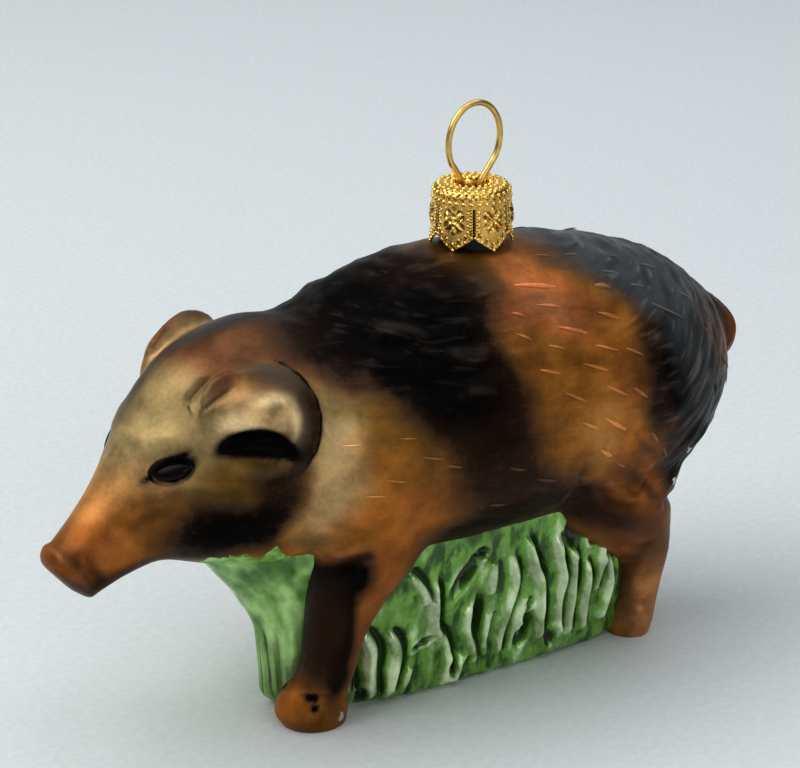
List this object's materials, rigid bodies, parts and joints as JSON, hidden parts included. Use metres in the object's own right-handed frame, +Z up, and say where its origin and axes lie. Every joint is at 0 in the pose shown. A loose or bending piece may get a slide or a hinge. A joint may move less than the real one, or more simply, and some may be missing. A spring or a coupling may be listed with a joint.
{
  "type": "blown-glass wild boar tree ornament",
  "caption": "Silvered, painted glass tree ornament: a wild boar walking in a tuft of grass, with a stamped gold crown cap and a wire hanging loop.",
  "frame": {"origin": "middle of the bounding box on the floor, under the hooves and the foot of the grass", "axes": "+Z up, X along the boar with the snout towards -X, -Y the boar's left side"},
  "size_m": [0.1058, 0.0406, 0.0781],
  "materials": {
    "boar_back": "dark satin lacquer over silvered glass",
    "boar_face": "beige satin lacquer over silvered glass",
    "boar_tan": "tan satin lacquer over silvered glass",
    "boar_brown": "brown satin lacquer over silvered glass",
    "boar_eye": "black lacquer",
    "grass_green": "glossy green lacquer over silvered glass",
    "bare_glass": "silvered glass",
    "gold_cap": "gold-coloured stamped sheet",
    "gold_wire": "gold-coloured wire"
  },
  "bodies": {
    "root": {"head": "boar_face", "neck": "boar_tan", "trunk": "boar_back", "ear_left": "boar_face", "ear_right": "boar_face", "eye_left": "boar_eye", "eye_right": "boar_eye", "foreleg_left": "boar_brown", "foreleg_right": "boar_brown", "hindleg_left": "boar_brown", "hindleg_right": "boar_brown", "tail": "boar_tan", "grass": "grass_green", "pike": "bare_glass", "cap": "gold_cap", "hanger": "gold_wire"}
  },
  "joints": []
}
